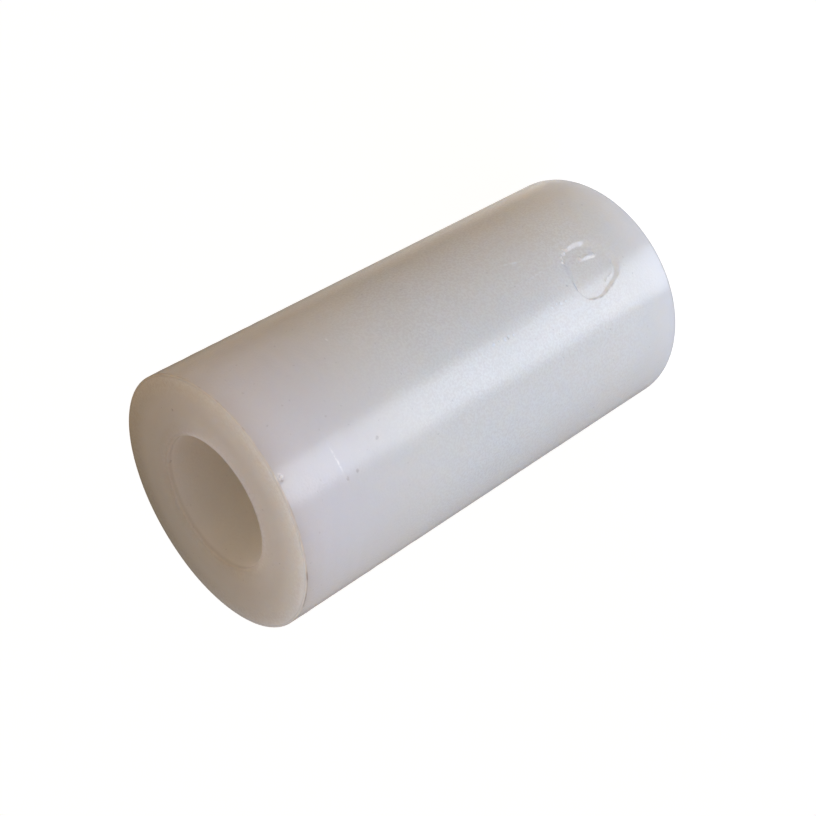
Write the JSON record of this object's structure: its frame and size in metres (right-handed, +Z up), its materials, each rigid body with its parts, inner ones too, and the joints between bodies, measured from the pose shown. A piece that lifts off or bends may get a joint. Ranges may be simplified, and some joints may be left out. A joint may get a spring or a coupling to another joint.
{
  "type": "spacer tube",
  "caption": "Plain round moulded plastic spacer tube with two flat ends, a straight clearance bore for a screw, and a small sunk gate mark in its side.",
  "frame": {"origin": "middle of the foot face, on the bore's axis, where the tube stands", "axes": "+Z up along the bore's axis, from the foot end with the gate mark to the top end; the gate mark faces -Y"},
  "size_m": [0.008, 0.008, 0.016],
  "materials": {
    "natural_nylon": "undyed polyamide, translucent warm white, smooth as moulded with a soft sheen"
  },
  "bodies": {
    "root": {"spacer_tube": "natural_nylon"}
  },
  "joints": []
}
